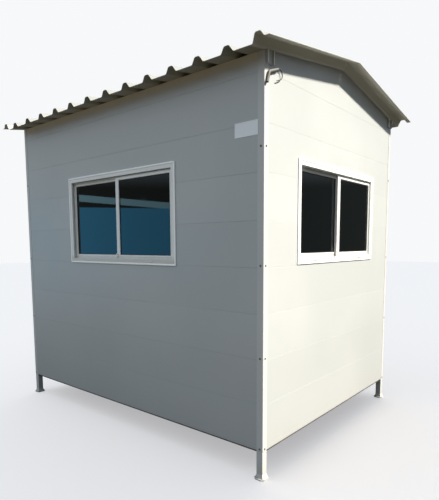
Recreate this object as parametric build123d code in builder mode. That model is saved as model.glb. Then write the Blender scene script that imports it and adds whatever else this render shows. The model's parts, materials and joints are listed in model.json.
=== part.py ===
from build123d import *
from math import cos, radians, sin, tan
import os

# Guard booth on four short legs, with a low gable roof of ribbed sheet.
# The long front wall faces -Y, the ridge runs along X, the ground is Z = 0. Millimetres.

# Body
body_length = 2440.0          # over the gable walls
body_width = 1800.0           # over the long walls
ground_clearance = 165.0      # ground to the lower edge of the walls
wall_height = 2108.0          # lower edge of a long wall to the roof sheet
wall_thickness = 40.0
cut_overrun = 10.0

# Corner posts, which run down as the legs
post_size = 40.0
post_wall = 2.5
foot_size = 68.0
foot_chamfer = 14.0
foot_thickness = 8.0

# Floor
sill_thickness = 8.0          # angle iron under the walls
sill_upstand = 40.0
joist_width = 40.0
joist_count = 5
deck_thickness = 18.0

# Roof
roof_pitch = 9.0              # degrees
eave_overhang = 125.0
verge_overhang = 115.0
sheet_thickness = 2.0
rib_pitch = 200.0
rib_base = 78.0
rib_top = 30.0
rib_height = 34.0
first_rib = 257.0             # right verge to the middle of the first rib
roll_base = 58.0              # raised roll along each verge
roll_top = 22.0
roll_height = 48.0
shoulder_width = 31.0         # flat between the roll and the verge
shoulder_height = 20.0
ridge_gap = 2.0
cap_reach = 150.0
cap_gap = 4.0                 # end of the cap to the verge roll
cap_thickness = 2.0
ridge_beam_width = 40.0
ridge_beam_height = 60.0

# Trim on the walls
trim_thickness = 2.0
corner_leg = 40.0

# Brackets under the roof on the gables
bracket_width = 60.0
bracket_depth = 12.0
bracket_wall = 3.0
bracket_drop = 66.0
bracket_inset = 42.0          # corner of the wall to the middle of a bracket

# Windows
front_window_width = 1146.0   # over the flange
front_window_height = 634.0
gable_window_width = 1104.0
gable_window_height = 610.0
window_middle = 1322.0        # above the lower edge of the wall
flange_lap = 12.0
flange_thickness = 3.0
frame_face = 22.0
jamb_stile = 22.0
meeting_stile = 36.0          # also the lap of the two sashes
sash_rail = 28.0
sash_thickness = 13.0
sash_inset = 8.0
track_gap = 3.0
track_rib_thickness = 2.0
track_rib_height = 8.0
glass_thickness = 5.0
latch_width = 24.0
latch_height = 30.0
latch_depth = 5.0
latch_lift = 22.0             # foot of the sash to the middle of its latch
latch_reach = 8.0             # past the edge of the meeting stile

# Door in the rear wall
door_opening_width = 860.0
lintel_height = 118.0         # wall left over the door opening
jamb_face = 38.0
leaf_thickness = 30.0
leaf_clearance = 3.0
stop_width = 12.0
hinge_height = 90.0
hinge_plate_width = 26.0
hinge_plate_thickness = 2.5
hinge_radius = 5.0
hinge_shares = (0.12, 0.5, 0.88)
handle_plate_width = 42.0
handle_plate_height = 170.0
handle_plate_thickness = 6.0
handle_backset = 60.0
handle_share = 0.5
spindle_radius = 8.0
spindle_length = 40.0
lever_length = 120.0
lever_radius = 7.0
lever_lift = 40.0

# Cable entry on the right gable
conduit_radius = 8.0
conduit_wall = 2.0
conduit_bend = 14.0
bush_length = 12.0            # plug in the mouth that holds the cable
conduit_clearance = 0.3
conduit_foot = (10.0, -156.0)     # from the front corner and the top of the long wall
conduit_knee = (28.0, -100.0)
conduit_mouth = (108.0, -69.0)
cable_radius = 2.5
cable_points = ((15.0, 5.8), (34.0, 1.0), (45.0, -14.0), (43.0, -33.0), (25.0, -47.0), (-10.0, -60.0))
cable_bend_share = 0.45

# Places worked out from the sizes above
half_length = body_length / 2
half_width = body_width / 2
half_roof = half_length + verge_overhang
slope = tan(radians(roof_pitch))
wall_base = ground_clearance
eave_level = wall_base + wall_height
ridge_level = eave_level + half_width * slope
bay_half_length = half_length - post_size
bay_half_width = half_width - max(post_size, wall_thickness)
inner_half_length = half_length - wall_thickness
inner_half_width = half_width - wall_thickness
window_level = wall_base + window_middle
door_opening_height = wall_height - lintel_height

os.makedirs("parts", exist_ok=True)


def keep(piece, label):
    piece.part.label = label
    export_step(piece.part, f"parts/{label}.step")


def roof_level(y):
    return eave_level + (half_width - abs(y)) * slope


# Corner posts with welded foot plates
def corner_post(x_sign, y_sign):
    middle = (x_sign * (half_length - post_size / 2), y_sign * (half_width - post_size / 2))
    with BuildPart() as post:
        with BuildSketch(Plane.XY):
            with Locations(middle):
                Rectangle(foot_size, foot_size)
            chamfer(vertices(), length=foot_chamfer)
        extrude(amount=foot_thickness)
        with BuildSketch(Plane.XY.offset(foot_thickness)):
            with Locations(middle):
                Rectangle(post_size, post_size)
                Rectangle(post_size - 2 * post_wall, post_size - 2 * post_wall, mode=Mode.SUBTRACT)
        extrude(amount=eave_level - foot_thickness)
    return post


# Corner angle over the post and the ends of the boards
def corner_trim(x_sign, y_sign):
    outer_x = x_sign * (half_length + trim_thickness)
    outer_y = y_sign * (half_width + trim_thickness)
    face_x = x_sign * half_length
    face_y = y_sign * half_width
    end_x = x_sign * (half_length - corner_leg)
    end_y = y_sign * (half_width - corner_leg)
    with BuildPart() as trim:
        with BuildSketch(Plane.XY.offset(wall_base)):
            with BuildLine():
                Polyline((outer_x, outer_y), (end_x, outer_y), (end_x, face_y), (face_x, face_y),
                         (face_x, end_y), (outer_x, end_y), close=True)
            make_face()
        extrude(amount=roof_level(half_width + trim_thickness) - wall_base)
    return trim


for end, x_sign in (("right", 1), ("left", -1)):
    for side, y_sign in (("front", -1), ("rear", 1)):
        keep(corner_post(x_sign, y_sign), f"{side}_{end}_post")
        keep(corner_trim(x_sign, y_sign), f"{side}_{end}_corner_trim")

# Angle iron ring under the walls, with joists across it
with BuildPart() as floor_frame:
    with BuildSketch(Plane.XY.offset(wall_base - sill_thickness)):
        Rectangle(2 * bay_half_length, body_width)
        Rectangle(body_length, 2 * bay_half_width)
        Rectangle(2 * (inner_half_length - sill_thickness), 2 * (inner_half_width - sill_thickness),
                  mode=Mode.SUBTRACT)
    extrude(amount=sill_thickness)
    with BuildSketch(Plane.XY.offset(wall_base)):
        Rectangle(2 * inner_half_length, 2 * inner_half_width)
        Rectangle(2 * (inner_half_length - sill_thickness), 2 * (inner_half_width - sill_thickness),
                  mode=Mode.SUBTRACT)
    extrude(amount=sill_upstand)
    with BuildSketch(Plane.XY.offset(wall_base)):
        with GridLocations(2 * inner_half_length / (joist_count + 1), 0, joist_count, 1):
            Rectangle(joist_width, 2 * inner_half_width - sill_thickness)
    extrude(amount=sill_upstand)
keep(floor_frame, "floor_frame")

with BuildPart() as floor_deck:
    with BuildSketch(Plane.XY.offset(wall_base + sill_upstand)):
        Rectangle(2 * inner_half_length, 2 * inner_half_width)
    extrude(amount=deck_thickness)
keep(floor_deck, "floor_deck")

# Window and door planes lie on the outer wall faces and look outwards
front_window_plane = Plane((0, -half_width, window_level), x_dir=(1, 0, 0), z_dir=(0, -1, 0))
right_window_plane = Plane((half_length, 0, window_level), x_dir=(0, 1, 0), z_dir=(1, 0, 0))
left_window_plane = Plane((-half_length, 0, window_level), x_dir=(0, -1, 0), z_dir=(-1, 0, 0))
door_middle = wall_base + door_opening_height / 2
door_plane = Plane((0, half_width, door_middle), x_dir=(-1, 0, 0), z_dir=(0, 1, 0))


# Stretch of a long wall, with its top cut to the roof slope
def long_wall(y_sign, x_low, x_high, z_low):
    with BuildPart() as wall:
        with BuildSketch(Plane.YZ.offset(x_low)):
            with BuildLine():
                Polyline((y_sign * half_width, z_low), (y_sign * half_width, roof_level(half_width)),
                         (y_sign * inner_half_width, roof_level(inner_half_width)),
                         (y_sign * inner_half_width, z_low), close=True)
            make_face()
        extrude(amount=x_high - x_low)
    return wall


with BuildPart() as front_wall:
    add(long_wall(-1, -bay_half_length, bay_half_length, wall_base).part)
    with BuildSketch(front_window_plane.offset(cut_overrun)):
        Rectangle(front_window_width - 2 * flange_lap, front_window_height - 2 * flange_lap)
    extrude(amount=-(wall_thickness + 2 * cut_overrun), mode=Mode.SUBTRACT)
keep(front_wall, "front_wall")

door_half = door_opening_width / 2
keep(long_wall(1, door_half, bay_half_length, wall_base), "rear_wall_right")
keep(long_wall(1, -bay_half_length, -door_half, wall_base), "rear_wall_left")
keep(long_wall(1, -door_half, door_half, wall_base + door_opening_height), "rear_wall_lintel")


def gable_wall(x_low, window_plane):
    with BuildPart() as wall:
        with BuildSketch(Plane.YZ.offset(x_low)):
            with BuildLine():
                Polyline((-bay_half_width, wall_base), (bay_half_width, wall_base),
                         (bay_half_width, roof_level(bay_half_width)), (0, ridge_level),
                         (-bay_half_width, roof_level(bay_half_width)), close=True)
            make_face()
        extrude(amount=wall_thickness)
        with BuildSketch(window_plane.offset(cut_overrun)):
            Rectangle(gable_window_width - 2 * flange_lap, gable_window_height - 2 * flange_lap)
        extrude(amount=-(wall_thickness + 2 * cut_overrun), mode=Mode.SUBTRACT)
    return wall


keep(gable_wall(inner_half_length, right_window_plane), "right_gable_wall")
keep(gable_wall(-half_length, left_window_plane), "left_gable_wall")


# Two-track sliding window: seen from outside the right sash runs in the outer track
def sliding_window(side, plane, width, height):
    cut_width = width - 2 * flange_lap
    cut_height = height - 2 * flange_lap
    clear_width = cut_width - 2 * frame_face
    clear_height = cut_height - 2 * frame_face
    sash_width = (clear_width + meeting_stile) / 2
    sash_shift = (clear_width - sash_width) / 2
    pane_width = sash_width - jamb_stile - meeting_stile
    pane_shift = sash_shift + (meeting_stile - jamb_stile) / 2
    pane_height = clear_height - 2 * sash_rail
    second_track = sash_inset + sash_thickness + track_gap
    track_rib_depth = second_track - (track_gap + track_rib_thickness) / 2

    with BuildPart() as frame:
        with BuildSketch(plane):
            Rectangle(width, height)
            Rectangle(clear_width, clear_height, mode=Mode.SUBTRACT)
        extrude(amount=flange_thickness)
        with BuildSketch(plane):
            Rectangle(cut_width, cut_height)
            Rectangle(clear_width, clear_height, mode=Mode.SUBTRACT)
        extrude(amount=-wall_thickness)
        with BuildSketch(plane.offset(-track_rib_depth)):
            Rectangle(cut_width, cut_height)
            Rectangle(clear_width - 2 * track_rib_height, clear_height - 2 * track_rib_height,
                      mode=Mode.SUBTRACT)
        extrude(amount=-track_rib_thickness)
    keep(frame, f"{side}_window_frame")

    for track, x_sign, depth in (("outer", 1, sash_inset), ("inner", -1, second_track)):
        with BuildPart() as sash:
            with BuildSketch(plane.offset(-depth)):
                with Locations((x_sign * sash_shift, 0)):
                    Rectangle(sash_width, clear_height)
                with Locations((x_sign * pane_shift, 0)):
                    Rectangle(pane_width, pane_height, mode=Mode.SUBTRACT)
            extrude(amount=-sash_thickness)
            if track == "outer":
                with BuildSketch(plane.offset(-depth)):
                    with Locations((sash_shift - sash_width / 2 - latch_reach, latch_lift - clear_height / 2)):
                        Rectangle(latch_width, latch_height, align=(Align.MIN, Align.CENTER))
                extrude(amount=latch_depth)
        keep(sash, f"{side}_window_{track}_sash")

    with BuildPart() as glass:
        for x_shift, depth in ((pane_shift, sash_inset), (-pane_shift, second_track)):
            with BuildSketch(plane.offset(-(depth + (sash_thickness - glass_thickness) / 2))):
                with Locations((x_shift, 0)):
                    Rectangle(pane_width, pane_height)
            extrude(amount=-glass_thickness)
    keep(glass, f"{side}_window_glass")


sliding_window("front", front_window_plane, front_window_width, front_window_height)
sliding_window("right", right_window_plane, gable_window_width, gable_window_height)
sliding_window("left", left_window_plane, gable_window_width, gable_window_height)

# Rear door: rebated frame, leaf shut against its stop, outward hinges and a lever on both faces
jamb_width = door_opening_width - 2 * jamb_face
jamb_height = door_opening_height - 2 * jamb_face
leaf_width = jamb_width - 2 * leaf_clearance
leaf_height = jamb_height - 2 * leaf_clearance
leaf_back = leaf_thickness - flange_thickness

with BuildPart() as door_frame:
    with BuildSketch(door_plane):
        with Locations((0, flange_lap / 2)):
            Rectangle(door_opening_width + 2 * flange_lap, door_opening_height + flange_lap)
        Rectangle(jamb_width, jamb_height, mode=Mode.SUBTRACT)
    extrude(amount=flange_thickness)
    with BuildSketch(door_plane):
        Rectangle(door_opening_width, door_opening_height)
        Rectangle(jamb_width, jamb_height, mode=Mode.SUBTRACT)
    extrude(amount=-leaf_back)
    with BuildSketch(door_plane.offset(-leaf_back)):
        Rectangle(door_opening_width, door_opening_height)
        Rectangle(jamb_width - 2 * stop_width, jamb_height - 2 * stop_width, mode=Mode.SUBTRACT)
    extrude(amount=-(wall_thickness - leaf_back))
keep(door_frame, "door_frame")

with BuildPart() as door_leaf:
    with BuildSketch(door_plane.offset(-leaf_back)):
        Rectangle(leaf_width, leaf_height)
    extrude(amount=leaf_thickness)
keep(door_leaf, "door_leaf")

hinge_x = (jamb_width - leaf_clearance) / 2
with BuildPart() as door_hinges:
    with BuildSketch(door_plane.offset(flange_thickness)):
        with Locations(*[(hinge_x, (share - 0.5) * leaf_height) for share in hinge_shares]):
            Rectangle(2 * hinge_plate_width, hinge_height)
    extrude(amount=hinge_plate_thickness)
    for share in hinge_shares:
        knuckle_foot = (hinge_x, flange_thickness + hinge_plate_thickness)
        knuckle_low = (share - 0.5) * leaf_height - hinge_height / 2
        knuckle_plane = Plane(door_plane.from_local_coords((0, knuckle_low, 0)), x_dir=door_plane.x_dir,
                              z_dir=(0, 0, 1))
        with BuildSketch(knuckle_plane):
            with Locations((knuckle_foot[0], -knuckle_foot[1])):
                Circle(hinge_radius)
                Rectangle(2 * hinge_radius, hinge_radius, align=(Align.CENTER, Align.MAX),
                          mode=Mode.INTERSECT)
        extrude(amount=hinge_height)
keep(door_hinges, "door_hinges")

handle_x = handle_backset - leaf_width / 2
handle_y = (handle_share - 0.5) * leaf_height
with BuildPart() as door_handle:
    for face, outward in ((flange_thickness, 1), (-leaf_back, -1)):
        with BuildSketch(door_plane.offset(face)):
            with Locations((handle_x, handle_y)):
                RectangleRounded(handle_plate_width, handle_plate_height, handle_plate_width / 4)
        extrude(amount=outward * handle_plate_thickness)
        with BuildSketch(door_plane.offset(face)):
            with Locations((handle_x, handle_y + lever_lift)):
                Circle(spindle_radius)
        extrude(amount=outward * (spindle_length + lever_radius))
        lever_plane = Plane(
            door_plane.from_local_coords((handle_x - spindle_radius, handle_y + lever_lift,
                                          face + outward * spindle_length)),
            x_dir=door_plane.z_dir, z_dir=door_plane.x_dir)
        with BuildSketch(lever_plane):
            Circle(lever_radius)
        extrude(amount=lever_length)
keep(door_handle, "door_handle")

# Ribbed roof sheets: one folded profile run down each slope, with a raised roll along both verges
run_length = (half_width + eave_overhang) / cos(radians(roof_pitch))
roll_inset = shoulder_width + roll_base
rib_count = int((2 * half_roof - first_rib - roll_inset - rib_base / 2) // rib_pitch) + 1
rib_middles = [half_roof - first_rib - rib_pitch * step for step in reversed(range(rib_count))]


def roof_sheet(y_sign):
    flank = (roll_base - roll_top) / 2
    verge = [(half_roof - roll_inset, 0), (half_roof - roll_inset + flank, roll_height),
             (half_roof - shoulder_width - flank, roll_height), (half_roof - shoulder_width, shoulder_height),
             (half_roof, shoulder_height)]
    under = [(-x, height) for x, height in reversed(verge)]
    for middle in rib_middles:
        under += [(middle - rib_base / 2, 0), (middle - rib_top / 2, rib_height),
                  (middle + rib_top / 2, rib_height), (middle + rib_base / 2, 0)]
    under += verge
    over = [(x, height + sheet_thickness) for x, height in reversed(under)]
    down = Vector(0, y_sign * cos(radians(roof_pitch)), -sin(radians(roof_pitch)))
    eave = Plane(Vector(0, 0, ridge_level) + down * run_length, x_dir=(1, 0, 0), z_dir=down * -y_sign)
    with BuildPart() as sheet:
        with BuildSketch(eave):
            with BuildLine():
                Polyline(*under, *over, close=True)
            make_face()
        extrude(amount=y_sign * (run_length + roll_height))
        split(bisect_by=Plane((0, y_sign * ridge_gap / 2, 0), z_dir=(0, y_sign, 0)), keep=Keep.TOP)
    return sheet


keep(roof_sheet(-1), "front_roof_sheet")
keep(roof_sheet(1), "rear_roof_sheet")

# Ridge cap, folded along the ridge and lying on the ribs
cap_rise = (rib_height + sheet_thickness) / cos(radians(roof_pitch))
with BuildPart() as ridge_cap:
    with BuildSketch(Plane.YZ):
        with BuildLine():
            Polyline((-cap_reach, roof_level(cap_reach) + cap_rise), (0, ridge_level + cap_rise),
                     (cap_reach, roof_level(cap_reach) + cap_rise),
                     (cap_reach, roof_level(cap_reach) + cap_rise + cap_thickness),
                     (0, ridge_level + cap_rise + cap_thickness),
                     (-cap_reach, roof_level(cap_reach) + cap_rise + cap_thickness), close=True)
        make_face()
    extrude(amount=half_roof - roll_inset - cap_gap, both=True)
keep(ridge_cap, "ridge_cap")

with BuildPart() as ridge_beam:
    with BuildSketch(Plane.YZ):
        with Locations((0, roof_level(ridge_beam_width / 2))):
            Rectangle(ridge_beam_width, ridge_beam_height, align=(Align.CENTER, Align.MAX))
    extrude(amount=inner_half_length, both=True)
keep(ridge_beam, "ridge_beam")


# Channel brackets that tie the roof down, one near each corner of a gable
def roof_brackets(x_sign):
    seat = x_sign * (half_length + trim_thickness)
    middle = half_width - bracket_inset
    foot_level = roof_level(middle) - bracket_drop
    with BuildPart() as brackets:
        for y_sign in (-1, 1):
            for from_seat, half, top_rise, mode in (
                    (0, bracket_width / 2, 0, Mode.ADD),
                    (bracket_wall, bracket_width / 2 - bracket_wall, cut_overrun, Mode.SUBTRACT)):
                near, far = y_sign * (middle + half), y_sign * (middle - half)
                with BuildSketch(Plane.YZ.offset(seat + x_sign * from_seat)):
                    with BuildLine():
                        Polyline((near, foot_level - top_rise), (near, roof_level(near) + top_rise),
                                 (far, roof_level(far) + top_rise), (far, foot_level - top_rise), close=True)
                    make_face()
                extrude(amount=x_sign * bracket_depth, mode=mode)
    return brackets


keep(roof_brackets(1), "right_roof_brackets")
keep(roof_brackets(-1), "left_roof_brackets")

# Bent conduit on the right gable, and the short end of cable that comes out of its mouth
conduit_plane = Plane((half_length + trim_thickness + conduit_radius + conduit_clearance, -half_width, eave_level),
                      x_dir=(0, 1, 0), z_dir=(1, 0, 0))
with BuildPart() as cable_conduit:
    with BuildLine(conduit_plane) as conduit_path:
        FilletPolyline(conduit_foot, conduit_knee, conduit_mouth, radius=conduit_bend)
    with BuildSketch(Plane(conduit_path.line @ 0, z_dir=conduit_path.line % 0)):
        Circle(conduit_radius)
        Circle(conduit_radius - conduit_wall, mode=Mode.SUBTRACT)
    sweep(path=conduit_path.line)
    with BuildSketch(Plane(conduit_path.line @ 1, z_dir=conduit_path.line % 1)):
        Circle(conduit_radius - conduit_wall)
    extrude(amount=-bush_length)
keep(cable_conduit, "cable_conduit")

cable_route = [Vector(conduit_mouth)] + [Vector(conduit_mouth) + Vector(point) for point in cable_points]
cable_radii = []
for before, corner, after in zip(cable_route, cable_route[1:], cable_route[2:]):
    turn = (corner - before).get_angle(after - corner)
    shorter = min((corner - before).length, (after - corner).length)
    cable_radii.append(cable_bend_share * shorter / tan(radians(turn / 2)))
print("cable radii", [round(radius, 1) for radius in cable_radii])
with BuildPart() as cable_tail:
    with BuildLine(conduit_plane) as cable_path:
        FilletPolyline(*[(point.X, point.Y) for point in cable_route], radius=cable_radii)
    with BuildSketch(Plane(cable_path.line @ 0, z_dir=cable_path.line % 0)):
        Circle(cable_radius)
    sweep(path=cable_path.line)
print("cable length", round(sum(edge.length for edge in cable_path.edges()), 1))
keep(cable_tail, "cable_tail")
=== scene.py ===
import json
import math

import bpy
from mathutils import Euler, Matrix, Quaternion, Vector


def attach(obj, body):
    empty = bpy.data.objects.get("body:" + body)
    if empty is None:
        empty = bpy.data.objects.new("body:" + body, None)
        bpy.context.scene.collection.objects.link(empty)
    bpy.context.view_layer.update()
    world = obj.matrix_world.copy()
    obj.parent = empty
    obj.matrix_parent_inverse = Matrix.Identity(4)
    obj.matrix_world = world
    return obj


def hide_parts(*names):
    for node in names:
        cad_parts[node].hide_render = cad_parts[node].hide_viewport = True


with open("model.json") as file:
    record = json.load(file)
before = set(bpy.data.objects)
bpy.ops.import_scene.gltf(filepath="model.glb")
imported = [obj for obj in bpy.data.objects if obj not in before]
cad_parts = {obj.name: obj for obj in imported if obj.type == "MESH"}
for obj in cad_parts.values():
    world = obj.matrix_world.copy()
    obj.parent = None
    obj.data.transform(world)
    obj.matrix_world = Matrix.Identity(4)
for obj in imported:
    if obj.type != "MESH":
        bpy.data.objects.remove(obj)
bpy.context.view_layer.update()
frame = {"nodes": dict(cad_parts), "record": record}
nodes = frame["nodes"]
print("frame loaded:", len(nodes), "nodes")

# Main sizes in metres: the ridge runs along X, and the long front wall looks to -Y
booth = {"halfLength": 1.22, "halfWidth": 0.900, "wallBase": 0.165, "eaveLevel": 2.273, "wall": 0.04,
         "pitch": math.radians(9.0), "legX": 1.2, "legY": 0.88}
boards = {"first": 0.26, "cover": 0.25, "joints": 8, "grooveHalf": 0.0013, "longDepth": 0.0009, "gableDepth": 0.0006}
windows = {"level": 1.487, "lap": 0.012, "front": (1.146, 0.634), "gable": (1.104, 0.610)}
slope = math.tan(booth["pitch"])
lowJoint = booth["wallBase"] + boards["first"]
corners = [(xSign, ySign) for xSign in (-1, 1) for ySign in (-1, 1)]
spare = 0.05  # how far a cutter or a blank goes past what is cut


def roofLevel(y):
    return booth["eaveLevel"] + (booth["halfWidth"] - abs(y)) * slope


def roofNormal(ySign):
    return Vector((0, ySign * math.sin(booth["pitch"]), math.cos(booth["pitch"])))


def meets(first, second):  # the same place, but for rounding
    return abs(first - second) < 1e-5


# Camera at the photo's viewing angle, held a little crooked
lens = {"place": (2.5700, -2.8867, 1.3039), "heading": 40.159, "pitch": -5.971, "roll": -0.326, "focal": 32.679,
        "sensor": 36, "shift": (0.0067, 0.0829)}
aim = Euler((math.radians(90 + lens["pitch"]), 0, math.radians(lens["heading"]))).to_quaternion()
aim = aim @ Quaternion((0, 0, 1), math.radians(lens["roll"]))
bpy.ops.object.camera_add(location=lens["place"], rotation=aim.to_euler())
camera = bpy.context.object
camera.data.lens = lens["focal"]
camera.data.sensor_width = lens["sensor"]
camera.data.shift_x, camera.data.shift_y = lens["shift"]
bpy.context.scene.camera = camera
print("camera set")


# Cable end that hangs out of the conduit
cable = {"x": 1.2303, "radius": 0.0025, "length": 0.1305,
         "route": ((-0.792, 2.204), (-0.777, 2.2098), (-0.758, 2.205), (-0.747, 2.190), (-0.749, 2.171),
                   (-0.767, 2.157), (-0.802, 2.144))}
cableCurve = bpy.data.curves.new("cableEnd", "CURVE")
cableCurve.dimensions = "3D"
cableCurve.bevel_depth = cable["radius"]
cableCurve.bevel_resolution = 4
cableCurve.use_fill_caps = True
cableLine = cableCurve.splines.new("NURBS")
cableLine.points.add(len(cable["route"]) - 1)
for point, (y, z) in zip(cableLine.points, cable["route"]):
    point.co = (cable["x"], y, z, 1)
cableLine.order_u = 3
cableLine.use_endpoint_u = True
cableLine.resolution_u = 8
cableEnd = bpy.data.objects.new("cableEnd", cableCurve)
bpy.context.scene.collection.objects.link(cableEnd)


class Wire:  # a socket that can stand in a sum
    def __init__(self, finish, socket):
        self.finish = finish
        self.socket = socket

    def math(self, operation, first, second):
        return self.finish.node("ShaderNodeMath", {"operation": operation}, {0: first, 1: second})

    def __add__(self, other):
        return self.math("ADD", self, other)

    def __sub__(self, other):
        return self.math("SUBTRACT", self, other)

    def __rsub__(self, other):
        return self.math("SUBTRACT", other, self)

    def __mul__(self, other):
        return self.math("MULTIPLY", self, other)

    __radd__ = __add__
    __rmul__ = __mul__


class Finish:  # the nodes of one material
    def __init__(self, name):
        self.material = bpy.data.materials.new(name)
        self.material.use_nodes = True
        self.tree = self.material.node_tree
        self.shader = self.tree.nodes["Principled BSDF"]
        self.place = self.node("ShaderNodeTexCoord", out="Object")

    def node(self, kind, settings=None, inputs=None, out=0):
        made = self.tree.nodes.new(kind)
        for key, value in (settings or {}).items():
            setattr(made, key, value)
        for key, value in (inputs or {}).items():
            self.feed(made.inputs[key], value)
        return Wire(self, made.outputs[out])

    def feed(self, socket, value):
        if isinstance(value, Wire):
            self.tree.links.new(value.socket, socket)
        else:
            socket.default_value = value

    def noise(self, scale, detail=3.0, stretch=None):
        where = self.place
        if stretch:
            where = self.node("ShaderNodeMapping", inputs={"Vector": where, "Scale": stretch})
        return self.node("ShaderNodeTexNoise", inputs={"Vector": where, "Scale": scale, "Detail": detail}, out="Fac")

    def rise(self, value, low, high):  # 0 below low, 1 above high
        return self.node("ShaderNodeMapRange", {"interpolation_type": "SMOOTHSTEP"},
                         {"Value": value, "From Min": low, "From Max": high})

    def along(self, axis):
        return self.node("ShaderNodeSeparateXYZ", inputs={0: self.place}, out=axis)

    def level(self):
        return self.along("Z")

    def reach(self, axis):  # distance from the middle plane
        return self.node("ShaderNodeMath", {"operation": "ABSOLUTE"}, {0: self.along(axis)})

    def blend(self, share, first, second):
        return self.node("ShaderNodeMix", {"data_type": "RGBA"}, {0: share, 6: first, 7: second}, out=2)

    def bump(self, height, strength, distance):
        return self.node("ShaderNodeBump", inputs={"Height": height, "Strength": strength, "Distance": distance},
                         out="Normal")

    def set(self, **sockets):
        for key, value in sockets.items():
            self.feed(self.shader.inputs[key.replace("_", " ")], value)
        return self.material


def paint(red, green, blue):
    return (red, green, blue, 1.0)


def coatedBoard():
    f = Finish("coatedBoard")
    cloud = f.rise(f.noise(1.3, 4), 0.35, 0.7)
    streak = f.rise(f.noise(5, 5, (1, 1, 0.06)), 0.5, 0.8)
    grain = f.noise(60, 4, (0.12, 0.12, 1.6))
    splash = (1 - f.rise(f.level() + f.noise(4, 4) * 0.18, 0.17, 0.52)) * 0.30
    colour = f.blend(cloud, paint(0.425, 0.437, 0.433), paint(0.455, 0.463, 0.459))
    colour = f.blend(streak * 0.10, colour, paint(0.34, 0.335, 0.31))
    # painted shade: every wall darker towards the bottom
    colour = f.blend((1 - f.rise(f.level(), 0.35, 1.15)) * 0.34, colour, paint(0.29, 0.30, 0.295))
    colour = f.blend(splash, colour, paint(0.33, 0.315, 0.28))
    longWall = f.rise(f.reach("Y"), 0.87, 0.89)
    paintedEaveGlow = f.rise(f.level() + f.noise(9, 3) * 0.02, 2.195, 2.29) * longWall
    colour = f.blend(paintedEaveGlow, colour, paint(0.62, 0.545, 0.40))  # painted warm bounce light under the eaves
    above = f.level() - lowJoint
    count = f.node("ShaderNodeMath", {"operation": "FLOOR"}, {0: above * (1 / boards["cover"])})
    tone = f.node("ShaderNodeTexWhiteNoise", {"noise_dimensions": "1D"}, {"W": count}, out="Value")
    colour = f.blend(tone * 0.20, colour, paint(0.36, 0.365, 0.355))  # no two boards quite alike
    gap = f.node("ShaderNodeMath", {"operation": "PINGPONG"}, {0: above, 1: boards["cover"] / 2})
    dirt = f.rise(f.noise(1.7, 3), 0.40, 0.60) * 0.18 + 0.05
    seam = (1 - f.rise(gap, 0.0008, 0.0024)) * dirt * (longWall * 0.75 + 0.25)
    colour = f.blend(seam, colour, paint(0.10, 0.10, 0.095))  # dirt in the joints
    return f.set(Base_Color=colour, Roughness=0.36 + cloud * 0.10 + splash * 0.3,
                 Normal=f.bump(grain, 0.2, 0.0004))


def creamPaint():
    f = Finish("creamPaint")
    cloud = f.noise(3, 4)
    peel = f.noise(420, 2)
    wear = f.rise(f.noise(38, 5), 0.66, 0.76)
    low = 1 - f.rise(f.level() + f.noise(18, 4) * 0.08, 0.05, 0.17)
    colour = f.blend(cloud, paint(0.47, 0.47, 0.455), paint(0.51, 0.51, 0.495))
    colour = f.blend(low * 0.40, colour, paint(0.32, 0.30, 0.26))
    colour = f.blend(wear * low, colour, paint(0.21, 0.16, 0.11))
    return f.set(Base_Color=colour, Roughness=0.36 + cloud * 0.08 + low * 0.2, Normal=f.bump(peel, 0.18, 0.0003))


def sillPrimer():
    f = Finish("sillPrimer")
    cloud = f.noise(9, 5)
    rust = f.rise(f.noise(26, 6), 0.58, 0.70)
    colour = f.blend(cloud, paint(0.040, 0.037, 0.034), paint(0.075, 0.068, 0.060))
    colour = f.blend(rust * 0.7, colour, paint(0.15, 0.075, 0.038))
    return f.set(Base_Color=colour, Roughness=0.62 + rust * 0.25, Normal=f.bump(f.noise(180, 4), 0.4, 0.0006))


def sheetCoat():  # pale coat above, olive backing coat below
    f = Finish("sheetCoat")
    facing = f.node("ShaderNodeNewGeometry", out="True Normal")
    upper = f.rise(f.node("ShaderNodeSeparateXYZ", inputs={0: facing}, out="Z"), -0.05, 0.05)
    cloud = f.noise(2.2, 4)
    run = f.rise(f.noise(14, 5, (1, 0.08, 0.08)), 0.5, 0.78)
    fleck = f.rise(f.noise(120, 3), 0.64, 0.72)
    above = f.blend(cloud, paint(0.20, 0.20, 0.19), paint(0.25, 0.25, 0.235))
    below = f.blend(cloud, paint(0.30, 0.29, 0.235), paint(0.35, 0.34, 0.28))
    across = f.reach("X")
    # painted bounce light: the underside paler under the verge overhang
    below = f.blend(f.rise(across, 1.20, 1.24), below, paint(0.56, 0.55, 0.47))
    paintedGableBounce = f.rise(across, 1.219, 1.222) - f.rise(across, 1.236, 1.240)  # painted bounce light: paler where the sheet meets the gable
    edge = f.rise(across, 1.310, 1.320)  # and painted light at its edge
    below = f.blend(paintedGableBounce * 0.5 + edge * 0.8, below, paint(0.70, 0.69, 0.62))
    colour = f.blend(upper, below, above)
    colour = f.blend(run * 0.25, colour, paint(0.16, 0.155, 0.135))
    colour = f.blend(fleck * 0.2, colour, paint(0.40, 0.39, 0.35))
    return f.set(Base_Color=colour, Roughness=0.40 + cloud * 0.14 + run * 0.1,
                 Normal=f.bump(f.noise(6, 3), 0.12, 0.004))


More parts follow.
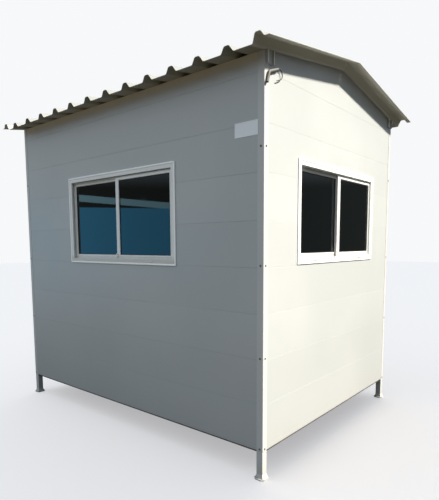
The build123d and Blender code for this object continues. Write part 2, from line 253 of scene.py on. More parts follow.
def whitePowder():
    f = Finish("whitePowder")
    cloud = f.noise(4, 4)
    dust = f.rise(f.noise(30, 5), 0.55, 0.75)
    colour = f.blend(cloud, paint(0.73, 0.725, 0.70), paint(0.79, 0.785, 0.76))
    colour = f.blend(dust * 0.16, colour, paint(0.52, 0.49, 0.44))
    sill = 1 - f.rise(f.level() + f.noise(40, 4) * 0.02, 1.205, 1.245)
    sill = sill * (1 - f.rise(f.along("Y"), 0.7, 0.8))  # not on the door frame behind
    colour = f.blend(sill * 0.6, colour, paint(0.46, 0.40, 0.31))  # warmer and darker along the window sills
    return f.set(Base_Color=colour, Roughness=0.30 + dust * 0.15, Normal=f.bump(f.noise(700, 2), 0.15, 0.0002))


# white of the sealant beads, also used as a painted highlight on the bracket flange edges
def sealantAndHighlightWhite():
    f = Finish("sealantAndHighlightWhite")
    wave = f.noise(25, 3)
    dust = f.rise(f.noise(60, 5), 0.55, 0.75)
    colour = f.blend(wave, paint(0.93, 0.94, 0.93), paint(0.97, 0.97, 0.96))
    colour = f.blend(dust * 0.12, colour, paint(0.60, 0.58, 0.53))
    return f.set(Base_Color=colour, Roughness=0.45 + dust * 0.2, Normal=f.bump(wave, 0.3, 0.0008))


def smokedGlass():
    f = Finish("smokedGlass")
    smear = f.noise(7, 5, (1, 1, 0.5))
    speck = f.rise(f.noise(160, 3), 0.70, 0.76)
    colour = f.blend(speck * 0.4, paint(0.0025, 0.0035, 0.004), paint(0.02, 0.02, 0.019))
    return f.set(Base_Color=colour, Roughness=0.015 + f.rise(smear, 0.5, 0.8) * 0.04 + speck * 0.2, Alpha=0.93,
                 IOR=1.52, Coat_Weight=0.6, Coat_Roughness=0.02)


def floorPly():
    f = Finish("floorPly")
    grain = f.noise(26, 6, (0.10, 1.6, 1))
    knot = f.rise(f.noise(5, 3, (0.4, 1, 1)), 0.60, 0.72)
    colour = f.blend(grain, paint(0.28, 0.19, 0.11), paint(0.43, 0.32, 0.20))
    colour = f.blend(knot * 0.5, colour, paint(0.20, 0.13, 0.08))
    return f.set(Base_Color=colour, Roughness=0.55 + grain * 0.2, Normal=f.bump(grain, 0.25, 0.0008))


def doorSkin():
    f = Finish("doorSkin")
    cloud = f.noise(2, 4)
    scuff = f.rise(f.noise(22, 6, (1, 1, 0.3)), 0.62, 0.72) * (1 - f.rise(f.level(), 0.2, 0.7))
    colour = f.blend(cloud, paint(0.50, 0.51, 0.505), paint(0.55, 0.56, 0.555))
    colour = f.blend(scuff * 0.5, colour, paint(0.28, 0.265, 0.24))
    return f.set(Base_Color=colour, Roughness=0.33 + cloud * 0.08 + scuff * 0.25,
                 Normal=f.bump(f.noise(300, 2), 0.15, 0.0003))


def satinSteel():
    f = Finish("satinSteel")
    brush = f.noise(90, 4, (0.05, 1, 1))
    spot = f.rise(f.noise(60, 4), 0.66, 0.74)
    colour = f.blend(brush, paint(0.46, 0.46, 0.45), paint(0.62, 0.62, 0.61))
    colour = f.blend(spot * 0.4, colour, paint(0.30, 0.24, 0.18))
    return f.set(Base_Color=colour, Metallic=1 - spot * 0.5, Roughness=0.27 + brush * 0.14 + spot * 0.3,
                 Normal=f.bump(brush, 0.10, 0.0002))


# painted shade: a dark, unevenly toned grey for the strips in the window tracks
def paintedShadeTrackGrey():
    f = Finish("paintedShadeTrackGrey")
    dirt = f.rise(f.noise(40, 5), 0.4, 0.7)
    colour = f.blend(dirt, paint(0.20, 0.235, 0.24), paint(0.13, 0.15, 0.155))
    return f.set(Base_Color=colour, Roughness=0.55 + dirt * 0.2, Normal=f.bump(f.noise(300, 3), 0.2, 0.0003))


def dullZinc():
    f = Finish("dullZinc")
    tarnish = f.rise(f.noise(90, 4), 0.4, 0.65)
    colour = f.blend(tarnish, paint(0.17, 0.17, 0.165), paint(0.09, 0.085, 0.08))
    return f.set(Base_Color=colour, Metallic=0.4, Roughness=0.55 + tarnish * 0.2,
                 Normal=f.bump(f.noise(400, 2), 0.2, 0.0002))


def conduitGrey():
    f = Finish("conduitGrey")
    dust = f.rise(f.noise(45, 5), 0.4, 0.75)
    colour = f.blend(dust, paint(0.115, 0.110, 0.102), paint(0.155, 0.150, 0.140))
    return f.set(Base_Color=colour, Roughness=0.60 + dust * 0.2, Normal=f.bump(f.noise(300, 3), 0.2, 0.0003))


def blackRubber():
    f = Finish("blackRubber")
    bloom = f.rise(f.noise(70, 5), 0.5, 0.8)
    colour = f.blend(bloom, paint(0.014, 0.014, 0.015), paint(0.032, 0.032, 0.034))
    return f.set(Base_Color=colour, Roughness=0.60 + bloom * 0.2, Normal=f.bump(f.noise(500, 2), 0.2, 0.0002))


def plainPlate():
    f = Finish("barePlate")
    cloud = f.noise(40, 4)
    colour = f.blend(cloud, paint(0.76, 0.78, 0.80), paint(0.84, 0.86, 0.88))
    return f.set(Base_Color=colour, Roughness=0.28 + cloud * 0.12, Normal=f.bump(f.noise(250, 2), 0.1, 0.0002))


finishes = {"wall_panel": coatedBoard(), "white_trim": creamPaint(), "frame_steel": sillPrimer(),
            "roof_sheet": sheetCoat(), "window_frame": whitePowder(), "tinted_glass": smokedGlass(),
            "floor_board": floorPly(), "door_panel": doorSkin(), "handle_steel": satinSteel(),
            "conduit": conduitGrey(), "cable": blackRubber()}
for part in frame["record"]["subparts"]:
    for place in nodes[part["node"]].material_slots:
        place.material = finishes[part["material_slot"]]
sealAndHighlightFinish, trackShadeFinish, screwFinish, plateFinish = sealantAndHighlightWhite(), paintedShadeTrackGrey(), dullZinc(), plainPlate()
print("finishes made:", len(finishes) + 4)


def letGo():  # object mode, nothing selected
    if bpy.context.mode != "OBJECT":
        bpy.ops.object.mode_set(mode="OBJECT")
    bpy.ops.object.select_all(action="DESELECT")


def takeUp(piece):  # only this piece selected
    letGo()
    piece.select_set(True)
    bpy.context.view_layer.objects.active = piece


def bake(piece):  # the place goes into the mesh
    takeUp(piece)
    bpy.ops.object.transform_apply(location=True, rotation=True, scale=True)


def addBlock(name, *spans):  # the two ends along X, Y and Z, in either order
    letGo()
    bpy.ops.mesh.primitive_cube_add(size=1, location=[(a + b) / 2 for a, b in spans],
                                    scale=[abs(b - a) for a, b in spans])
    block = bpy.context.object
    block.name = name
    bake(block)
    return block


def addDisc(sides, radius, depth, place=(0, 0, 0)):  # a disc that looks to -Y
    letGo()
    bpy.ops.mesh.primitive_cylinder_add(vertices=sides, radius=radius, depth=depth, location=place,
                                        rotation=(math.radians(90), 0, 0))
    disc = bpy.context.object
    bake(disc)
    return disc


def pick(piece, kind, test):  # select by place or normal, and stay in edit mode
    takeUp(piece)
    bpy.ops.object.mode_set(mode="EDIT")
    bpy.ops.mesh.select_mode(type=kind)
    bpy.ops.mesh.select_all(action="DESELECT")
    bpy.ops.object.mode_set(mode="OBJECT")
    mesh = piece.data
    if kind == "FACE":
        for face in mesh.polygons:
            face.select = test(face.center, face.normal)
    if kind == "EDGE":
        for edge in mesh.edges:
            edge.select = test(*[mesh.vertices[index].co for index in edge.vertices])
    if kind == "VERT":
        for corner in mesh.vertices:
            corner.select = test(corner.co)
    bpy.ops.object.mode_set(mode="EDIT")


def anywhere(*found):
    return True


def frontFace(place, facing):
    return facing.y < -0.9


def move(step):
    bpy.ops.transform.translate(value=step)


def pull(step):
    bpy.ops.mesh.extrude_region_move(TRANSFORM_OT_translate={"value": step})


def inset(thickness, step=None):  # a smaller face in the picked one, moved by the step
    bpy.ops.mesh.inset(thickness=thickness)
    if step:
        move(step)


def saw(piece, point, normal, drop=False, close=True):  # drop takes away the side that the normal points to
    takeUp(piece)
    bpy.ops.object.mode_set(mode="EDIT")
    bpy.ops.mesh.select_all(action="SELECT")
    bpy.ops.mesh.bisect(plane_co=point, plane_no=normal, use_fill=drop and close, clear_outer=drop)
    bpy.ops.object.mode_set(mode="OBJECT")


def modify(piece, kind, **settings):
    takeUp(piece)
    change = piece.modifiers.new(kind.title(), kind)
    for key, value in settings.items():
        setattr(change, key, value)
    bpy.ops.object.modifier_apply(modifier=change.name)


def shade(piece, angle):
    takeUp(piece)
    bpy.ops.object.shade_smooth_by_angle(angle=math.radians(angle))


def soften(piece, width, segments=2, limit=35):  # rounded edges, with the flats kept flat in the shading
    modify(piece, "BEVEL", width=width, segments=segments, limit_method="ANGLE", angle_limit=math.radians(limit))
    shade(piece, 50)
    modify(piece, "WEIGHTED_NORMAL", keep_sharp=True)


def carve(piece, cutter):
    modify(piece, "BOOLEAN", object=cutter, operation="DIFFERENCE", solver="EXACT")
    bpy.data.objects.remove(cutter)


def joinUp(name, pieces):
    takeUp(pieces[0])
    for piece in pieces:
        piece.select_set(True)
    if len(pieces) > 1:
        bpy.ops.object.join()
    pieces[0].name = name
    return pieces[0]


def stamp(name, pattern, spots):  # copies of a pattern that looks to -Y, each turned to its own outward direction
    copies = []
    for place, outward in spots:
        copy = bpy.data.objects.new(name, pattern.data.copy())
        bpy.context.scene.collection.objects.link(copy)
        copy.rotation_mode = "QUATERNION"
        copy.rotation_quaternion = Vector((0, -1, 0)).rotation_difference(Vector(outward))
        copy.location = place
        copies.append(copy)
    bpy.data.objects.remove(pattern)
    whole = joinUp(name, copies)
    bake(whole)
    return whole


def setDown(piece, slot, *replaced, finish=None):  # finished piece: material, body and the nodes it stands for
    letGo()
    piece.data.materials.clear()
    piece.data.materials.append(finish or finishes[slot])
    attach(piece, "root")
    if replaced:
        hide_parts(*replaced)


setDown(cableEnd, "cable", "cable_tail")
print("cable hung")


# Walls of level boards, with a shallow groove at each joint
doorway = {"half": 0.43, "top": 2.155}
boardJoints = [lowJoint + boards["cover"] * count for count in range(boards["joints"])]


def wallFaces(sign, half):  # outer and inner side
    return sign * half, sign * (half - booth["wall"])


def grooveJoints(wall, axis, place, inward):  # axis and place of the outer side, and the step into it

    def onJoint(a, b):
        flat = meets(a[axis], place) and meets(b[axis], place)
        return flat and meets(a.z, b.z) and any(meets(a.z, joint) for joint in boardJoints)

    for joint in boardJoints:
        saw(wall, (0, 0, joint), (0, 0, 1))
    pick(wall, "EDGE", onJoint)
    bpy.ops.mesh.bevel(offset=boards["grooveHalf"], segments=2, affect="EDGES", clamp_overlap=False)
    pick(wall, "EDGE", onJoint)
    move(inward)
    letGo()


def cutWindow(wall, kind, axis, faces):  # axis that the wall looks along, and its two sides
    width, height = [size - 2 * windows["lap"] for size in windows[kind]]
    spans = [(-width / 2, width / 2), (-width / 2, width / 2),
             (windows["level"] - height / 2, windows["level"] + height / 2)]
    spans[axis] = (min(faces) - spare, max(faces) + spare)
    carve(wall, addBlock("cutter", *spans))


def longBoards(name, ySign, xSpan, zLow):
    faces = wallFaces(ySign, booth["halfWidth"])
    wall = addBlock(name, xSpan, faces, (zLow, roofLevel(0)))
    saw(wall, (0, faces[0], booth["eaveLevel"]), roofNormal(ySign), drop=True)
    grooveJoints(wall, 1, faces[0], (0, -ySign * boards["longDepth"], 0))
    if ySign < 0:
        cutWindow(wall, "front", 1, faces)
    return wall


def gableBoards(name, xSign):
    faces = wallFaces(xSign, booth["halfLength"])
    reach = booth["halfWidth"] - booth["wall"]
    wall = addBlock(name, faces, (-reach, reach), (booth["wallBase"], roofLevel(0) + spare))
    for ySign in (-1, 1):
        saw(wall, (0, 0, roofLevel(0)), roofNormal(ySign), drop=True)
    grooveJoints(wall, 0, faces[0], (-xSign * boards["gableDepth"], 0, 0))
    cutWindow(wall, "gable", 0, faces)
    return wall


wallEnd = booth["halfLength"] - booth["wall"]
doorSide = doorway["half"]
wallPieces = ((longBoards("frontBoards", -1, (-wallEnd, wallEnd), booth["wallBase"]), "front_wall"),
              (longBoards("rearBoardsLeft", 1, (-wallEnd, -doorSide), booth["wallBase"]), "rear_wall_left"),
              (longBoards("rearBoardsRight", 1, (doorSide, wallEnd), booth["wallBase"]), "rear_wall_right"),
              (longBoards("rearBoardsTop", 1, (-doorSide, doorSide), doorway["top"]), "rear_wall_lintel"),
              (gableBoards("rightBoards", 1), "right_gable_wall"),
              (gableBoards("leftBoards", -1), "left_gable_wall"))
for wall, node in wallPieces:
    setDown(wall, "wall_panel", node)
print("walls boarded:", len(wallPieces))


# Corner angles with a rolled outer corner
angle = {"leg": 0.034, "thick": 0.002, "roll": 0.004, "edge": 0.0005}


def cornerAngle(name, xSign, ySign):
    x, y = xSign * booth["halfLength"], ySign * booth["halfWidth"]
    outX, outY = x + xSign * angle["thick"], y + ySign * angle["thick"]
    inX, inY = x - xSign * angle["leg"], y - ySign * angle["leg"]
    low, top = booth["wallBase"], roofLevel(outY)
    corner = addBlock(name, (outX, inX), (outY, inY), (low, top))
    pick(corner, "EDGE", lambda a, b: all(meets(end.x, outX) and meets(end.y, outY) for end in (a, b)))
    bpy.ops.mesh.bevel(offset=angle["roll"], segments=4, affect="EDGES")
    carve(corner, addBlock("cutter", (x, inX - xSign * spare), (y, inY - ySign * spare), (low - spare, top + spare)))
    soften(corner, angle["edge"])
    return corner


for end, xSign in (("right", 1), ("left", -1)):
    for side, ySign in (("front", -1), ("rear", 1)):
        setDown(cornerAngle(f"{side}{end.title()}Angle", xSign, ySign), "white_trim", f"{side}_{end}_corner_trim")
print("corner angles rolled")


# Ribbed roof sheets, folded point by point and rounded at each fold
sheetForm = {"halfRoof": 1.335, "overhang": 0.125, "thick": 0.002, "ribs": 12, "ribPitch": 0.2, "ribBase": 0.078,
             "ribTop": 0.030, "ribHeight": 0.034, "firstRib": 0.257, "rollBase": 0.068, "rollTop": 0.031,
             "rollHeight": 0.048, "shoulder": 0.031, "shoulderHeight": 0.020, "ridgeGap": 0.002, "fold": 0.007,
             "shading": 40}
firstMiddle = sheetForm["halfRoof"] - sheetForm["firstRib"]
ribMiddles = [firstMiddle - sheetForm["ribPitch"] * count for count in range(sheetForm["ribs"])]


def sheetProfile():
    s = sheetForm
    flank = (s["rollBase"] - s["rollTop"]) / 2
    foot = s["halfRoof"] - s["shoulder"] - s["rollBase"]
    verge = [(foot, 0), (foot + flank, s["rollHeight"]), (foot + flank + s["rollTop"], s["rollHeight"]),
             (foot + s["rollBase"], s["shoulderHeight"]), (s["halfRoof"], s["shoulderHeight"])]
    points = [(-x, height) for x, height in reversed(verge)]
    for middle in reversed(ribMiddles):
        points += [(middle - s["ribBase"] / 2, 0), (middle - s["ribTop"] / 2, s["ribHeight"]),
                   (middle + s["ribTop"] / 2, s["ribHeight"]), (middle + s["ribBase"] / 2, 0)]
    return points + verge


def foldedSheet(name, ySign):
    normal = roofNormal(ySign)
    eaveY = booth["halfWidth"] + sheetForm["overhang"]
    profile = sheetProfile()
    start = Vector((profile[0][0], ySign * eaveY, roofLevel(eaveY))) + normal * profile[0][1]
    letGo()
    bpy.ops.mesh.primitive_plane_add(size=0.01, location=start)
    sheet = bpy.context.object
    sheet.name = name
    bake(sheet)
    pick(sheet, "VERT", anywhere)
    bpy.ops.mesh.merge(type="CENTER")
    for (x, height), (nextX, nextHeight) in zip(profile, profile[1:]):
        step = Vector((nextX - x, 0, 0)) + normal * (nextHeight - height)
        bpy.ops.mesh.extrude_vertices_move(TRANSFORM_OT_translate={"value": step})
    bpy.ops.mesh.select_all(action="SELECT")
    bpy.ops.mesh.bevel(offset=sheetForm["fold"], segments=3, affect="VERTICES")
    bpy.ops.mesh.select_all(action="SELECT")
    upSlope = Vector((0, -ySign * math.cos(booth["pitch"]), math.sin(booth["pitch"])))
    pull(upSlope * (eaveY / math.cos(booth["pitch"]) + sheetForm["rollHeight"]))
    letGo()
    saw(sheet, (0, ySign * sheetForm["ridgeGap"] / 2, 0), (0, -ySign, 0), drop=True, close=False)
    pick(sheet, "FACE", anywhere)
    bpy.ops.mesh.normals_make_consistent(inside=False)
    letGo()
    if sheet.data.polygons[0].normal.z < 0:
        pick(sheet, "FACE", anywhere)
        bpy.ops.mesh.flip_normals()
        letGo()
    modify(sheet, "SOLIDIFY", thickness=sheetForm["thick"], offset=1, use_even_offset=True)
    shade(sheet, sheetForm["shading"])
    return sheet


setDown(foldedSheet("frontSheet", -1), "roof_sheet", "front_roof_sheet")
setDown(foldedSheet("rearSheet", 1), "roof_sheet", "rear_roof_sheet")
print("roof sheets folded")


# Ridge cap with a rolled ridge and a bead along each edge
cap = {"halfLength": 1.242, "reach": 0.15, "thick": 0.002, "bead": 0.024, "beadHalf": 0.004, "beadHeight": 0.0015,
       "roll": 0.014}
capRise = (sheetForm["ribHeight"] + sheetForm["thick"]) / math.cos(booth["pitch"])
capBase = roofLevel(cap["reach"]) + capRise
beadY = cap["reach"] - cap["bead"]
ridgeCap = addBlock("ridgeCap", (-cap["halfLength"], cap["halfLength"]), (-cap["reach"], cap["reach"]),
                    (capBase, capBase + cap["thick"]))
saw(ridgeCap, (0, 0, 0), (0, 1, 0))
pick(ridgeCap, "VERT", lambda place: meets(place.y, 0))
move((0, 0, cap["reach"] * slope))
pick(ridgeCap, "EDGE", lambda a, b: meets(a.y, 0) and meets(b.y, 0) and not meets(a.x, b.x))
bpy.ops.mesh.bevel(offset=cap["roll"], segments=4, affect="EDGES")
letGo()
for ySign in (-1, 1):
    for edge in (cap["beadHalf"], 0, -cap["beadHalf"]):
        saw(ridgeCap, (0, ySign * (beadY + edge), 0), (0, 1, 0))
pick(ridgeCap, "VERT", lambda place: meets(abs(place.y), beadY))
move((0, 0, cap["beadHeight"]))
shade(ridgeCap, sheetForm["shading"])
setDown(ridgeCap, "roof_sheet", "ridge_cap")
print("ridge cap laid")


# Screws: a pan head with its washer on the angles, a hex head with its washer on the roof
screw = {"washer": 0.0060, "thick": 0.0014, "head": 0.0042, "rise": 0.0020, "crown": 0.0012, "crownRise": 0.0008,
         "recess": 0.0014, "levels": (0.176, 0.685, 1.188, 1.805), "inset": 0.020}
hexScrew = {"washer": 0.0095, "thick": 0.003, "washerEdge": 0.002, "washerRise": 0.001, "head": 0.0052,
            "tall": 0.006, "lift": 0.0045, "headEdge": 0.0012, "headRise": 0.0006,
            "rows": ((0.88, 0.036), (0.47, 0.036), (0.118, 0.038))}  # distance from the ridge, seat over the sheet


def panHead():
    head = addDisc(14, screw["washer"], screw["thick"])
    pick(head, "FACE", frontFace)
    inset(screw["washer"] - screw["head"])
    pull((0, -screw["rise"], 0))
    inset(screw["crown"], (0, -screw["crownRise"], 0))
    inset(screw["recess"])
    pull((0, screw["recess"], 0))
    letGo()
    return head


def hexHead():
    washer = addDisc(12, hexScrew["washer"], hexScrew["thick"])
    pick(washer, "FACE", frontFace)
    inset(hexScrew["washerEdge"], (0, -hexScrew["washerRise"], 0))
    head = addDisc(6, hexScrew["head"], hexScrew["tall"], (0, -hexScrew["lift"], 0))
    pick(head, "FACE", frontFace)
    inset(hexScrew["headEdge"], (0, -hexScrew["headRise"], 0))
    return joinUp("hexHead", [washer, head])


angleSpots, roofSpots = [], []
for xSign, ySign in corners:
    x, y = xSign * (booth["halfLength"] + angle["thick"]), ySign * (booth["halfWidth"] + angle["thick"])
    for z in screw["levels"]:
        angleSpots.append(((x - xSign * screw["inset"], y, z), (0, ySign, 0)))
        angleSpots.append(((x, y - ySign * screw["inset"], z), (xSign, 0, 0)))
for ySign in (-1, 1):
    for x in ribMiddles:
        for y, seat in hexScrew["rows"]:
            place = Vector((x, ySign * y, roofLevel(y))) + roofNormal(ySign) * seat
            roofSpots.append((place, roofNormal(ySign)))
setDown(stamp("angleScrews", panHead(), angleSpots), "handle_steel", finish=screwFinish)
setDown(stamp("roofScrews", hexHead(), roofSpots), "handle_steel", finish=screwFinish)
print("screws driven:", len(angleSpots) + len(roofSpots))


# Windows: mitred face bars inside a raised bead of sealant, stepped glazing beads, gaskets, weep hoods, latch screws
windowFace = {"frame": 0.022, "bar": 0.0226, "proud": 0.0036, "edge": 0.0007}
seal = {"wide": 0.0106, "proud": 0.0066, "past": 0.0006, "edge": 0.0020}
sash = {"jambStile": 0.022, "meetingStile": 0.036, "rail": 0.028, "outerFront": 0.008, "innerFront": 0.024}
gasketForm = {"past": 0, "front": 0.0008, "wide": 0.005, "thick": 0.003}  # past the pane, behind the sash's front
stepForm = {"past": 0.022, "front": -0.0024, "wide": 0.009, "thick": 0.0026}
hoodForm = {"half": 0.016, "halfTall": 0.004, "deep": 0.0028, "round": 0.0022, "edge": 0.0004, "share": 0.3,
            "lift": 0.022}
latch = {"reach": 0.008, "middle": 0.007, "lift": 0.022, "front": 0.003, "apart": 0.017, "hole": 0.0042,
         "thick": 0.0016, "rim": 0.35, "dip": 0.0006}
liner = {"jamb": 0.0012, "jambFront": -0.001, "jambShort": 0.002, "lip": 0.004, "lipSpan": (0.010, 0.012),
         "head": 0.0055, "headFront": 0.0005, "headShort": 0.003, "edge": 0.0003}
windowSides = {"front": {"place": (0, -booth["halfWidth"], windows["level"]), "turn": 0, "size": windows["front"]},
               "right": {"place": (booth["halfLength"], 0, windows["level"]), "turn": 90, "size": windows["gable"]},
               "left": {"place": (-booth["halfLength"], 0, windows["level"]), "turn": -90, "size": windows["gable"]}}


def mitredBar(length, reach, deep, proud, edge, turn):  # made as the head bar, then turned about the window's middle
    bar = addBlock("bar", (-length / 2, length / 2), (-proud, 0), (reach - deep, reach))
    for xSign in (-1, 1):
        saw(bar, (xSign * length / 2, 0, reach), Vector((xSign, 0, -1)).normalized(), drop=True)
    soften(bar, edge)
    bar.rotation_euler[1] = math.radians(turn)
    bake(bar)
    return bar


def mitredRing(width, height, deep, proud, edge):
    sizes = ((width, height / 2, 0), (height, width / 2, 90), (width, height / 2, 180), (height, width / 2, 270))
    return [mitredBar(length, reach, deep, proud, edge, turn) for length, reach, turn in sizes]


def flatRing(x, width, height, front, form):
    letGo()
    bpy.ops.mesh.primitive_plane_add(size=1, location=(x, front + form["front"], 0),
                                     rotation=(math.radians(90), 0, 0))
    ring = bpy.context.object
    ring.scale = (width + form["past"], height + form["past"], 1)
    bake(ring)
    pick(ring, "FACE", anywhere)
    inset(form["wide"])
    bpy.ops.mesh.delete(type="FACE")
    letGo()
    modify(ring, "SOLIDIFY", thickness=form["thick"], offset=-1)
    soften(ring, form["thick"] * 0.3)
    return ring


def weepHood(x, z):
    back = -windowFace["proud"]
    front = back - hoodForm["deep"]
    hood = addBlock("weepHood", (x - hoodForm["half"], x + hoodForm["half"]), (front, back),
                    (z - hoodForm["halfTall"], z + hoodForm["halfTall"]))
    pick(hood, "EDGE", lambda a, b: all(meets(end.y, front) and end.z > z for end in (a, b)))
    bpy.ops.mesh.bevel(offset=hoodForm["round"], segments=3, affect="EDGES")
    letGo()
    soften(hood, hoodForm["edge"])
    return hood


def latchHole(x, z):
    hole = addDisc(16, latch["hole"], latch["thick"], (x, latch["front"], z))
    pick(hole, "FACE", frontFace)
    inset(latch["hole"] * latch["rim"], (0, latch["dip"], 0))
    letGo()
    return hole


def trackLiner(width, height):  # the empty outer track in the left half: its jamb, the jamb's lip and the head; the lip and the head are dark strips of painted shade
    frameWide = windows["lap"] + windowFace["bar"]
    inX, inZ = frameWide - width / 2, height / 2 - frameWide
    blocks = (addBlock("jamb", (inX, inX + liner["jamb"]),
                       (liner["jambFront"], sash["innerFront"] - liner["jambShort"]), (-inZ, inZ)),
              addBlock("jambLip", (inX, inX + liner["lip"]), liner["lipSpan"], (-inZ, inZ)),
              addBlock("head", (inX, -inX),
                       (liner["headFront"], sash["outerFront"] - liner["headShort"]), (inZ - liner["head"], inZ)))
    for block in blocks:
        soften(block, liner["edge"])
    return blocks


def fitTo(side, part, pieces, slot, finish=None):  # from the window's own middle to its wall
    piece = joinUp(side + part, pieces)
    piece.location = windowSides[side]["place"]
    piece.rotation_euler = (0, 0, math.radians(windowSides[side]["turn"]))
    bake(piece)
    setDown(piece, slot, finish=finish)


for side, plan in windowSides.items():
    width, height = plan["size"]
    bars = mitredRing(width, height, windows["lap"] + windowFace["bar"], windowFace["proud"], windowFace["edge"])
    hoods = [weepHood(xSign * width * hoodForm["share"], hoodForm["lift"] - height / 2) for xSign in (-1, 1)]
    jamb, jambLip, head = trackLiner(width, height)
    fitTo(side, "WindowFace", bars + hoods + [jamb], "window_frame")
    beads = mitredRing(width + 2 * seal["past"], height + 2 * seal["past"], seal["wide"], seal["proud"], seal["edge"])
    fitTo(side, "WindowBead", beads, "window_frame", sealAndHighlightFinish)

    clearWidth, clearHeight = [length - 2 * (windows["lap"] + windowFace["frame"]) for length in plan["size"]]
    sashWidth = (clearWidth + sash["meetingStile"]) / 2
    paneWidth = sashWidth - sash["jambStile"] - sash["meetingStile"]
    paneHeight = clearHeight - 2 * sash["rail"]
    paneX = (clearWidth - sashWidth) / 2 + (sash["meetingStile"] - sash["jambStile"]) / 2
    panes = ((paneX, sash["outerFront"]), (-paneX, sash["innerFront"]))
    gaskets = [flatRing(x, paneWidth, paneHeight, front, gasketForm) for x, front in panes]
    fitTo(side, "WindowGasket", gaskets, "cable")
    steps = [flatRing(x, paneWidth, paneHeight, front, stepForm) for x, front in panes]
    fitTo(side, "GlazingBead", steps, "window_frame")
    # dark strips in the track, painted shade in the recess
    fitTo(side, "WindowTrackShade", [jambLip, head], "window_frame", trackShadeFinish)

    latchX = clearWidth / 2 - sashWidth - latch["reach"] + latch["middle"] * 2
    latchZ = latch["lift"] - clearHeight / 2
    holes = [latchHole(latchX, latchZ + zSign * latch["apart"] / 2) for zSign in (-1, 1)]
    fitTo(side, "LatchScrews", holes, "cable")
print("windows dressed:", len(windowSides))


# White strips along the flanges of the roof brackets, a painted highlight on the flange edges
lip = {"ends": ((0.888, 0.882), (0.834, 0.828)), "face": 1.234, "proud": 0.0012, "bite": 0.0005, "foot": 2.2137,
       "topGap": 0.001, "edge": 0.0003}
highlightStrips = []
for xSign, ySign in corners:
    for far, near in lip["ends"]:
        highlightStrips.append(addBlock("lip", (xSign * (lip["face"] - lip["bite"]), xSign * (lip["face"] + lip["proud"])),
                             (ySign * far, ySign * near), (lip["foot"], roofLevel(far) - lip["topGap"])))
bracketHighlightStrips = joinUp("bracketHighlightStrips", highlightStrips)
soften(bracketHighlightStrips, lip["edge"])
setDown(bracketHighlightStrips, "white_trim", finish=sealAndHighlightFinish)
print("brackets edged")


# Weld collars where the legs meet their foot plates
collar = {"low": 0.008, "high": 0.030, "lowHalf": 0.027, "highHalf": 0.0202, "edge": 0.004}
collars = []
for xSign, ySign in corners:
    letGo()
    bpy.ops.mesh.primitive_cone_add(
        vertices=4, radius1=collar["lowHalf"] * math.sqrt(2), radius2=collar["highHalf"] * math.sqrt(2),
        depth=collar["high"] - collar["low"], rotation=(0, 0, math.radians(45)),
        location=(xSign * booth["legX"], ySign * booth["legY"], (collar["low"] + collar["high"]) / 2))
    ring = bpy.context.object
    bake(ring)
    soften(ring, collar["edge"], 3)
    collars.append(ring)
setDown(joinUp("weldCollars", collars), "white_trim")
print("legs welded")


# Bare plate on the front wall, with a pressed rim
plate = {"x": (1.031, 1.183), "z": (1.865, 1.942), "thick": 0.0016, "bite": 0.0001, "rim": 0.005, "press": 0.0008,
         "dip": 0.0006, "edge": 0.0004}
barePlate = addBlock("barePlate", plate["x"],
                     (-booth["halfWidth"] - plate["thick"], plate["bite"] - booth["halfWidth"]), plate["z"])
pick(barePlate, "FACE", frontFace)
inset(plate["rim"])
inset(plate["press"], (0, plate["dip"], 0))
letGo()
soften(barePlate, plate["edge"])
setDown(barePlate, "white_trim", finish=plateFinish)
print("plate fixed")


# Rear door leaf with two pressed panels on each face
leaf = {"half": 0.389, "low": 0.206, "high": 2.114, "back": 0.873, "front": 0.903, "split": 1.05, "edge": 0.0015}
leafPress = ((0.10, 0), (0.012, -0.006), (0.020, 0), (0.012, 0.0042))  # margin, slope in, channel, slope out
doorLeaf = addBlock("doorLeaf", (-leaf["half"], leaf["half"]), (leaf["back"], leaf["front"]),
                    (leaf["low"], leaf["high"]))
saw(doorLeaf, (0, 0, leaf["split"]), (0, 0, 1))
pick(doorLeaf, "FACE", lambda place, facing: abs(facing.y) > 0.9)
for wide, depth in leafPress:
    bpy.ops.mesh.inset(thickness=wide, depth=depth, use_individual=True)
letGo()
soften(doorLeaf, leaf["edge"], limit=15)
setDown(doorLeaf, "door_panel", "door_leaf")
print("door pressed")


# Two grounds in one place: a pale one that the camera sees, out of the sun, and a dim one that throws light up
ground = {"size": 60, "paleLevel": -0.0005, "dimLevel": -0.001, "rough": 0.95}


def addGround(name, level, material):
    letGo()
    bpy.ops.mesh.primitive_plane_add(size=ground["size"], location=(0, 0, level))
    made = bpy.context.object
    made.name = name
    bake(made)
    made.data.materials.append(material)
    return made


paleFloor = Finish("paleFloor").set(Base_Color=paint(0.64, 0.575, 0.53), Roughness=ground["rough"],
                                    Specular_IOR_Level=0.0, Emission_Color=paint(0.93, 0.93, 0.95),
                                    Emission_Strength=0.44)
floor = addGround("floor", ground["paleLevel"], paleFloor)
floor.visible_diffuse = False
floor.visible_glossy = False
floor.visible_shadow = False
dimGround = Finish("dimGround").set(Base_Color=paint(0.036, 0.034, 0.030), Roughness=ground["rough"],
                                    Specular_IOR_Level=0.0)
bounce = addGround("bounce", ground["dimLevel"], dimGround)
bounce.visible_camera = False
bounce.visible_glossy = False
bounce.visible_transmission = False

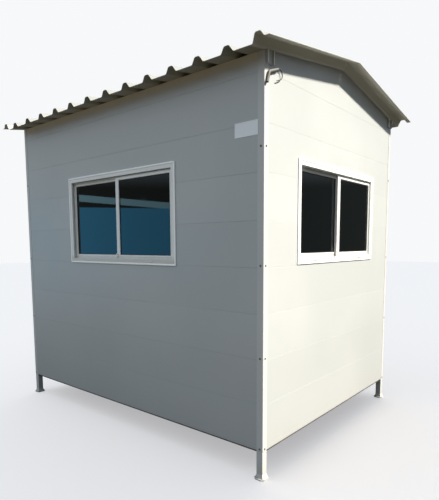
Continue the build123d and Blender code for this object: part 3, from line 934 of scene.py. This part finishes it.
# A wide sun from the right and behind
sunPlan = {"place": (6, 3, 7), "travel": (-112, -52, -123), "power": 10.6, "angle": 4.0, "colour": (1.0, 0.945, 0.84)}
bpy.ops.object.light_add(type="SUN", location=sunPlan["place"])
sun = bpy.context.object
sun.data.energy = sunPlan["power"]
sun.data.angle = math.radians(sunPlan["angle"])
sun.data.color = sunPlan["colour"]
sun.rotation_euler = Vector(sunPlan["travel"]).to_track_quat("-Z", "Y").to_euler()
notSunlit = bpy.data.collections.new("notSunlit")
notSunlit.objects.link(floor)
notSunlit.collection_objects[0].light_linking.link_state = "EXCLUDE"
sun.light_linking.receiver_collection = notSunlit

# Soft cards: the front glass mirrors the first two, the other two light the front wall, from its left and from below
cards = {"blueCard": {"place": (-8.5, -7.0, 1.185), "size": (9.0, 2.37), "power": 62, "colour": (0.08, 0.555, 1.0),
                      "tilt": 0, "mirrored": True, "lights": False},
         "greyCard": {"place": (-8.5, -7.0, 2.58), "size": (9.0, 0.19), "power": 5.6, "colour": (0.42, 0.82, 1.0),
                      "tilt": -4, "mirrored": True, "lights": False},
         "paleCard": {"place": (-3.6, -4.0, 1.30), "size": (2.5, 2.0), "power": 11, "colour": (1.0, 0.98, 0.95),
                      "tilt": 0, "mirrored": False, "lights": True},
         "warmCard": {"place": (-0.6, -3.4, 0.02), "size": (5.0, 1.6), "power": 14, "colour": (1.0, 0.86, 0.62),
                      "tilt": None, "mirrored": False, "lights": True}}  # no tilt: it lies on the ground, looking up
for name, plan in cards.items():
    turn = Euler((math.radians(180), 0, 0))
    if plan["tilt"] is not None:
        aim = (Vector((0, -booth["halfWidth"], plan["place"][2])) - Vector(plan["place"])).to_track_quat("-Z", "Y")
        turn = (aim @ Quaternion((0, 0, 1), math.radians(plan["tilt"]))).to_euler()
    bpy.ops.object.light_add(type="AREA", location=plan["place"], rotation=turn)
    card = bpy.context.object
    card.name = name
    card.data.shape = "RECTANGLE"
    card.data.size, card.data.size_y = plan["size"]
    card.data.energy = plan["power"]
    card.data.color = plan["colour"]
    card.visible_camera = False
    card.visible_diffuse = plan["lights"]
    card.visible_glossy = plan["mirrored"]

# A bright dome with a dark band round the horizon for the glass, dimmer to the right; the camera sees a pale backdrop
below, band, sky = paint(0.12, 0.12, 0.115), paint(0.05, 0.055, 0.05), paint(0.80, 0.93, 1.06)
dome = ((0.0, below), (0.46, below), (0.485, band), (0.56, band), (0.62, sky), (1.0, sky))
dimming = {"From Min": -0.2, "From Max": 0.7, "To Min": 1.12, "To Max": 0.58}
world = bpy.data.worlds.new("studio")
bpy.context.scene.world = world
world.use_nodes = True
tree = world.node_tree
sight = tree.nodes.new("ShaderNodeTexCoord")
split = tree.nodes.new("ShaderNodeSeparateXYZ")
lift = tree.nodes.new("ShaderNodeMapRange")
lift.inputs["From Min"].default_value = -1
dim = tree.nodes.new("ShaderNodeMapRange")
for key, value in dimming.items():
    dim.inputs[key].default_value = value
ramp = tree.nodes.new("ShaderNodeValToRGB")
stops = ramp.color_ramp.elements
while len(stops) < len(dome):
    stops.new(0.5)
for stop, (place, colour) in zip(stops, dome):
    stop.position = place
    stop.color = colour
backdrop = tree.nodes.new("ShaderNodeBackground")
backdrop.inputs["Color"].default_value = paint(0.93, 0.94, 0.95)
ray = tree.nodes.new("ShaderNodeLightPath")
either = tree.nodes.new("ShaderNodeMixShader")
fill = tree.nodes["Background"]
for start, end in ((sight.outputs["Generated"], split.inputs[0]), (split.outputs["Z"], lift.inputs["Value"]),
                   (lift.outputs[0], ramp.inputs[0]), (ramp.outputs[0], fill.inputs["Color"]),
                   (split.outputs["X"], dim.inputs["Value"]), (dim.outputs[0], fill.inputs["Strength"]),
                   (ray.outputs["Is Camera Ray"], either.inputs[0]), (fill.outputs[0], either.inputs[1]),
                   (backdrop.outputs[0], either.inputs[2]),
                   (either.outputs[0], tree.nodes["World Output"].inputs["Surface"])):
    tree.links.new(start, end)
bpy.context.scene.view_settings.view_transform = "Standard"
print("studio lit")

letGo()
